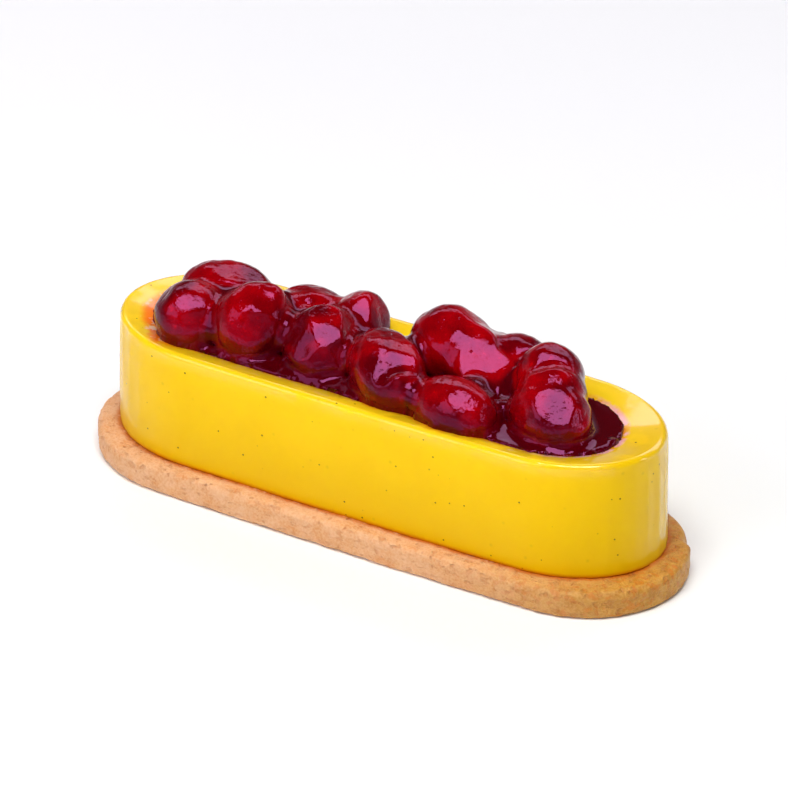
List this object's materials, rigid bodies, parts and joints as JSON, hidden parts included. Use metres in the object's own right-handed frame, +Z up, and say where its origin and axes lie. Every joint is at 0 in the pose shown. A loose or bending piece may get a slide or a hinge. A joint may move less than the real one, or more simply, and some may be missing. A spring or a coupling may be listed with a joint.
{
  "type": "berry tart",
  "caption": "Finger-shaped fruit tart: a shortbread base carries a moulded vanilla cream body whose dished top holds whole glazed cherries in dark red jelly.",
  "frame": {"origin": "middle of the flat underside of the shortbread base", "axes": "+X along the tart's length, +Y across it, +Z up"},
  "size_m": [0.13, 0.0414, 0.0439],
  "materials": {
    "shortbread": "dry, finely porous baked surface, browner towards one end",
    "vanilla_cream": "smooth set cream with a soft satin gloss and fine vanilla specks",
    "jelly": "wet, clear dark red jelly",
    "glazed_cherry": "wet glossy glaze over translucent red fruit"
  },
  "bodies": {
    "root": {"biscuit_base": "shortbread", "cream_body": "vanilla_cream", "cherry_jelly": "jelly", "cherry_01": "glazed_cherry", "cherry_02": "glazed_cherry", "cherry_03": "glazed_cherry", "cherry_04": "glazed_cherry", "cherry_05": "glazed_cherry", "cherry_06": "glazed_cherry", "cherry_07": "glazed_cherry", "cherry_08": "glazed_cherry", "cherry_09": "glazed_cherry", "cherry_10": "glazed_cherry", "cherry_11": "glazed_cherry"}
  },
  "joints": []
}
